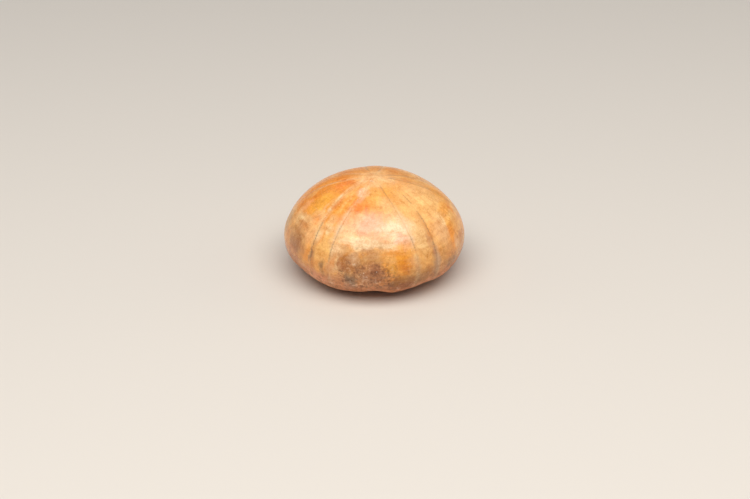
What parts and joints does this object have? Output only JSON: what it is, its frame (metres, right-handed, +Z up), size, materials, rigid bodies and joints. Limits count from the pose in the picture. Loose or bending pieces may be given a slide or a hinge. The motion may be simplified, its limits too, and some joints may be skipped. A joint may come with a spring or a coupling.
{
  "type": "fossil sea urchin",
  "caption": "Domed fossil sea urchin test with pore lines radiating from the apex and a hollowed underside that rests on a worn ring.",
  "frame": {"origin": "centre of the resting plane, under the middle of the bounding box", "axes": "+Z up through the apex; -Y towards the side under which the periproct lies"},
  "size_m": [0.038, 0.0382, 0.0211],
  "materials": {
    "fossil_stone": "polished calcite, orange and cream with grey-brown patches, duller low on the side"
  },
  "bodies": {
    "root": {"urchin_test": "fossil_stone"}
  },
  "joints": []
}
